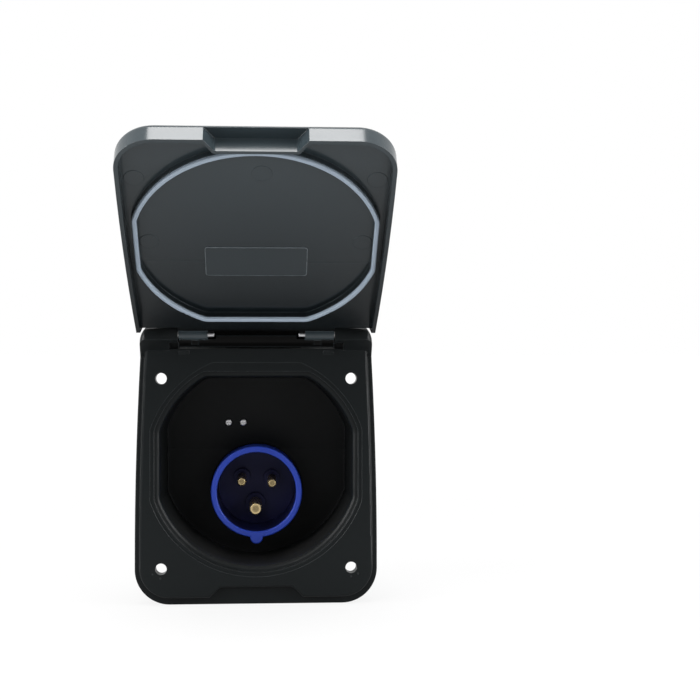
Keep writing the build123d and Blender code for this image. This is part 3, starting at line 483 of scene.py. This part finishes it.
FINISHES = {
    "housing": BLACK, "rear_cover": BLACK, "lid_frame": LID_BLACK, "lid_panel": PANEL, "badge": BADGE_BLACK,
    "bolt_symbol": SYMBOL, "corner_trim": TRIM, "lid_seal": SEAL, "label_plate": LABEL, "inlet_collar": BLUE,
    "pin_carrier": NAVY, "panel_gasket": FOAM, "inlet_gasket": RUBBER, "rear_cover_seal": RUBBER,
    "gland_seal": RUBBER, "gland_body": NYLON, "gland_nut": NYLON, "gland_locknut": NYLON, "cord_saddle": NYLON,
    "hinge_pin_left": STEEL, "hinge_pin_right": STEEL, "terminal_screws": STEEL, "inlet_screws": STEEL,
    "rear_cover_screws": STEEL, "saddle_screws": STEEL}

for name, cad_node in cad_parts.items():
    finish = brass_for(name) if name.endswith("_pin") else FINISHES[name]
    cad_node.data.materials.clear()
    cad_node.data.materials.append(finish)


# ---- small moulded details, repeated by geometry nodes ----

def lid_opening():
    """Turns a mesh from the closed lid to the open one, in metres."""
    hinge = Matrix.Translation(Vector((0, HINGE_Y, HINGE_Z)) * MM)
    return hinge @ Matrix.Rotation(-math.radians(OPEN_ANGLE), 4, "X") @ hinge.inverted()


def geometry_tree(name, inputs):
    """Geometry tree with named inputs beside the geometry; inputs are (name, kind, value)."""
    tree = bpy.data.node_groups.new(name, "GeometryNodeTree")
    tree.interface.new_socket("Geometry", in_out="INPUT", socket_type="NodeSocketGeometry")
    for label, kind, value in inputs:
        socket = tree.interface.new_socket(label, in_out="INPUT", socket_type=kind)
        if value is not None:
            socket.default_value = value
    tree.interface.new_socket("Geometry", in_out="OUTPUT", socket_type="NodeSocketGeometry")
    return tree, tree.nodes.new("NodeGroupInput").outputs, tree.nodes.new("NodeGroupOutput").inputs


def button_tree():
    """A low round button, its edge stepped in, on every point of the base mesh, facing +Y."""
    tree, given, out = geometry_tree("buttons_on_points", [
        ("Radius", "NodeSocketFloat", 0.004), ("Height", "NodeSocketFloat", 0.0002),
        ("Edge", "NodeSocketFloat", 0.0001), ("Finish", "NodeSocketMaterial", None)])
    disc = put(tree, "GeometryNodeMeshCircle", props={"fill_type": "NGON"},
               ins={"Vertices": 40, "Radius": given["Radius"]})
    rise = put(tree, "GeometryNodeExtrudeMesh", props={"mode": "FACES"},
               ins={"Mesh": disc.outputs[0], "Offset Scale": given["Height"]})
    shrink = put(tree, "ShaderNodeMath", props={"operation": "DIVIDE"}, ins={0: given["Edge"], 1: given["Radius"]})
    keep = put(tree, "ShaderNodeMath", props={"operation": "SUBTRACT"}, ins={0: 1.0, 1: shrink.outputs[0]})
    top = put(tree, "GeometryNodeScaleElements", ins={"Geometry": rise.outputs["Mesh"],
                                                      "Selection": rise.outputs["Top"], "Scale": keep.outputs[0]})
    flip = put(tree, "GeometryNodeFlipFaces", ins={0: disc.outputs[0]})
    joined = tree.nodes.new("GeometryNodeJoinGeometry")
    send(tree, top.outputs[0], joined.inputs[0])
    send(tree, flip.outputs[0], joined.inputs[0])
    merged = put(tree, "GeometryNodeMergeByDistance", ins={"Geometry": joined.outputs[0], "Distance": 0.000002})
    points = put(tree, "GeometryNodeMeshToPoints", ins={"Mesh": given["Geometry"]})
    placed = put(tree, "GeometryNodeInstanceOnPoints", ins={"Points": points.outputs[0],
                                                           "Instance": merged.outputs[0],
                                                           "Rotation": (-math.pi / 2, 0, 0)})
    real = put(tree, "GeometryNodeRealizeInstances", ins={0: placed.outputs[0]})
    painted = put(tree, "GeometryNodeSetMaterial", ins={"Geometry": real.outputs[0], "Material": given["Finish"]})
    send(tree, painted.outputs[0], out[0])
    return tree


def ridge_tree():
    """Upright half-round ridges in a ring round Z, on the side of a round nut."""
    tree, given, out = geometry_tree("ridges_round_nut", [
        ("Count", "NodeSocketInt", 18), ("Ring Radius", "NodeSocketFloat", 0.01),
        ("Ridge Radius", "NodeSocketFloat", 0.0006), ("Length", "NodeSocketFloat", 0.006),
        ("Finish", "NodeSocketMaterial", None)])
    ring = put(tree, "GeometryNodeMeshCircle", ins={"Vertices": given["Count"], "Radius": given["Ring Radius"]})
    points = put(tree, "GeometryNodeMeshToPoints", ins={"Mesh": ring.outputs[0]})
    post = put(tree, "GeometryNodeMeshCylinder", ins={"Vertices": 12, "Radius": given["Ridge Radius"],
                                                      "Depth": given["Length"]})
    ball = put(tree, "GeometryNodeMeshUVSphere", ins={"Segments": 12, "Rings": 8, "Radius": given["Ridge Radius"]})
    half = put(tree, "ShaderNodeMath", props={"operation": "MULTIPLY"}, ins={0: given["Length"], 1: 0.5})
    joined = tree.nodes.new("GeometryNodeJoinGeometry")
    send(tree, post.outputs[0], joined.inputs[0])
    lift = put(tree, "ShaderNodeCombineXYZ", ins={"Z": half.outputs[0]})
    moved = put(tree, "GeometryNodeTransform", ins={"Geometry": ball.outputs[0], "Translation": lift.outputs[0]})
    send(tree, moved.outputs[0], joined.inputs[0])
    placed = put(tree, "GeometryNodeInstanceOnPoints", ins={"Points": points.outputs[0],
                                                           "Instance": joined.outputs[0]})
    real = put(tree, "GeometryNodeRealizeInstances", ins={0: placed.outputs[0]})
    painted = put(tree, "GeometryNodeSetMaterial", ins={"Geometry": real.outputs[0], "Material": given["Finish"]})
    send(tree, painted.outputs[0], out[0])
    return tree


def grown(name, tree, points, values, place):
    """Runs a geometry tree on loose points and returns the result as a plain piece, moved to its place."""
    seed = bpy.data.meshes.new(name + "_points")
    seed.from_pydata(points, [], [])
    carrier = bpy.data.objects.new(name + "_carrier", seed)
    bpy.context.scene.collection.objects.link(carrier)
    modifier = carrier.modifiers.new("grow", "NODES")
    modifier.node_group = tree
    sockets = {item.name: item.identifier for item in tree.interface.items_tree
               if item.item_type == "SOCKET" and item.in_out == "INPUT"}
    for label, value in values.items():
        modifier[sockets[label]] = value
    graph = bpy.context.evaluated_depsgraph_get()
    mesh = bpy.data.meshes.new_from_object(carrier.evaluated_get(graph))
    bpy.data.objects.remove(carrier)
    mesh.transform(place)
    piece = bpy.data.objects.new(name, mesh)
    mesh.name = name
    bpy.context.scene.collection.objects.link(piece)
    return piece


def smooth(piece):
    """Shades a small piece smooth between its sharp edges."""
    piece.data.shade_smooth()
    piece.data.set_sharp_from_angle(angle=math.radians(SHARP_ANGLE))
    return piece


def button_sizes(radius, proud, edge, finish):
    return {"Radius": radius * MM, "Height": proud * MM, "Edge": edge * MM, "Finish": finish}


buttons = button_tree()
marks = grown("ejector_marks", buttons, [Vector((x, LID_INSIDE_Y - SINK, z)) * MM for x, z in EJECTOR_PLACES],
              button_sizes(EJECTOR_RADIUS, EJECTOR_PROUD, EJECTOR_EDGE, LID_BLACK), lid_opening())
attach(smooth(marks), "lid")

# The buttons face +Y, so the pips on the plate are mirrored to face the front
facing_front = Matrix.Translation((0, (PLATE_Y + SINK) * MM, 0)) @ Matrix.Scale(-1, 4, (0, 1, 0))
pips = grown("moulding_pips", buttons, [Vector((x, 0, z)) * MM for x, z in PIP_PLACES],
             button_sizes(PIP_RADIUS, PIP_PROUD, PIP_EDGE, BLACK), facing_front)
pips.data.flip_normals()
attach(smooth(pips), "body")

nut_ridges = grown("gland_nut_ridges", ridge_tree(), [(0, 0, 0)],
                   {"Count": RIDGE_COUNT, "Ring Radius": (NUT_DOME_RADIUS - RIDGE_INSET) * MM,
                    "Ridge Radius": RIDGE_RADIUS * MM, "Length": RIDGE_LENGTH * MM, "Finish": NYLON},
                   Matrix.Translation(Vector((*NUT_CENTRE, RIDGE_MIDDLE_Z)) * MM))
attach(smooth(nut_ridges), "body")


# ---- studio ----

FLOOR_HALF = 60.0
FLOOR_DROP = 0.0002
FLOOR_COLOUR = (0.45, 0.45, 0.45, 1.0)
FLOOR_GLOW = 1.05
ROOM_LEVEL, ROOM_ABOVE, ROOM_BEHIND = 0.07, 0.5, 0.3

# Name, place, target and size in metres, and watts
SOFTBOXES = [
    ("left", (-1.15, -0.42, 0.4), (0, 0, 0.03), (0.5, 1.0), 18.0),
    ("right", (1.15, -0.42, 0.4), (0, 0, 0.03), (0.5, 1.0), 16.0),
    ("front", (-0.7, -1.35, 1.25), (0, 0, 0), (0.8, 0.8), 7.0),
    ("top", (0.0, -0.38, 1.5), (0, 0, 0), (0.8, 0.8), 25.0),
    ("glint_left", (-0.8, -1.0, 0.4), (0, 0, 0), (0.3, 0.7), 2.6),
    ("glint_right", (0.8, -1.0, 0.4), (0, 0, 0), (0.3, 0.7), 2.6)]


def shiny_rays(tree, seen):
    return maths(tree, "MAXIMUM", seen["Is Glossy Ray"], seen["Is Transmission Ray"])


def floor():
    """Pale floor under the inlet: it keeps the shadow, and glows white to the camera and in shiny surfaces."""
    half = FLOOR_HALF
    level = cad_box[0].z - FLOOR_DROP
    mesh = bpy.data.meshes.new("floor")
    mesh.from_pydata([(-half, -half, level), (half, -half, level), (half, half, level), (-half, half, level)],
                     [], [(0, 1, 2, 3)])
    plane = bpy.data.objects.new("floor", mesh)
    bpy.context.scene.collection.objects.link(plane)
    material = bpy.data.materials.new("pale_floor")
    material.use_nodes = True
    tree = material.node_tree
    shader = tree.nodes["Principled BSDF"]
    shader.inputs["Base Color"].default_value = FLOOR_COLOUR
    shader.inputs["Roughness"].default_value = 0.9
    shader.inputs["Specular IOR Level"].default_value = 0.0
    seen = put(tree, "ShaderNodeLightPath").outputs
    spot = put(tree, "ShaderNodeTexCoord").outputs["Object"]
    ahead = put(tree, "ShaderNodeSeparateXYZ", ins={0: spot}).outputs["Y"]
    away = put(tree, "ShaderNodeVectorMath", props={"operation": "LENGTH"}, ins={0: spot}).outputs["Value"]
    front = ramp(tree, ahead, -0.75, -0.22, FRONT_LEVEL, 1.0)
    strength = maths(tree, "MULTIPLY", maths(tree, "MAXIMUM", front, seen["Is Camera Ray"]), FLOOR_GLOW)
    glow = put(tree, "ShaderNodeEmission", ins={"Color": WHITE, "Strength": strength})
    shown = maths(tree, "MULTIPLY", seen["Is Camera Ray"], ramp(tree, away, 0.3, 1.1, 0.8, 1.0))
    mirrored = maths(tree, "MULTIPLY", shiny_rays(tree, seen), ramp(tree, away, 0.12, 0.5, 0.3, 1.0))
    blend = put(tree, "ShaderNodeMixShader",
                ins={0: maths(tree, "MAXIMUM", shown, mirrored), 1: shader.outputs[0], 2: glow.outputs[0]})
    send(tree, blend.outputs[0], tree.nodes["Material Output"].inputs["Surface"])
    mesh.materials.append(material)


def studio_world():
    """White to the camera; to the inlet a soft room, brighter above and behind than in front."""
    world = bpy.data.worlds.new("studio")
    bpy.context.scene.world = world
    world.use_nodes = True
    tree = world.node_tree
    tree.nodes.clear()
    coords = put(tree, "ShaderNodeTexCoord").outputs["Generated"]
    parts = put(tree, "ShaderNodeSeparateXYZ", ins={0: coords}).outputs
    seen = put(tree, "ShaderNodeLightPath").outputs
    above = maths(tree, "MULTIPLY", maths(tree, "MAXIMUM", parts["Z"], 0.0), ROOM_ABOVE)
    behind = maths(tree, "MULTIPLY", maths(tree, "MAXIMUM", parts["Y"], 0.0), ROOM_BEHIND)
    soft = maths(tree, "ADD", maths(tree, "ADD", ROOM_LEVEL, above), behind)
    room, mirrored, white = (
        put(tree, "ShaderNodeBackground", ins={"Color": WHITE, "Strength": strength}).outputs[0]
        for strength in (soft, ramp(tree, parts["Y"], -0.85, -0.25, FRONT_LEVEL, 1.0), 1.0))
    blend = put(tree, "ShaderNodeMixShader", ins={0: shiny_rays(tree, seen), 1: room, 2: mirrored})
    shown = put(tree, "ShaderNodeMixShader", ins={0: seen["Is Camera Ray"], 1: blend.outputs[0], 2: white})
    output = put(tree, "ShaderNodeOutputWorld")
    send(tree, shown.outputs[0], output.inputs["Surface"])


def softbox(name, place, target, size, watts):
    """Rectangular lamp at a place, turned to its target."""
    light = bpy.data.lights.new(name, "AREA")
    light.shape = "RECTANGLE"
    light.size, light.size_y = size
    light.energy = watts
    lamp = bpy.data.objects.new(name, light)
    lamp.location = place
    lamp.rotation_euler = (Vector(target) - Vector(place)).to_track_quat("-Z", "Y").to_euler()
    bpy.context.scene.collection.objects.link(lamp)


def camera():
    """The photograph's viewpoint, turned so that the inlet stands left of the middle."""
    data = bpy.data.cameras.new("photo_camera")
    data.sensor_width = 36.0
    data.lens = FOCAL_PIXELS * data.sensor_width / PHOTO_SIDE
    data.clip_start = 0.01
    eye = bpy.data.objects.new("photo_camera", data)
    eye.location = Vector(EYE) * MM
    eye.rotation_euler = (math.radians(90 + TILT_UP), 0, -math.radians(TURN_RIGHT))
    bpy.context.scene.collection.objects.link(eye)
    bpy.context.scene.camera = eye


floor()
studio_world()
for lamp_settings in SOFTBOXES:
    softbox(*lamp_settings)
camera()
bpy.context.scene.view_settings.view_transform = "Standard"
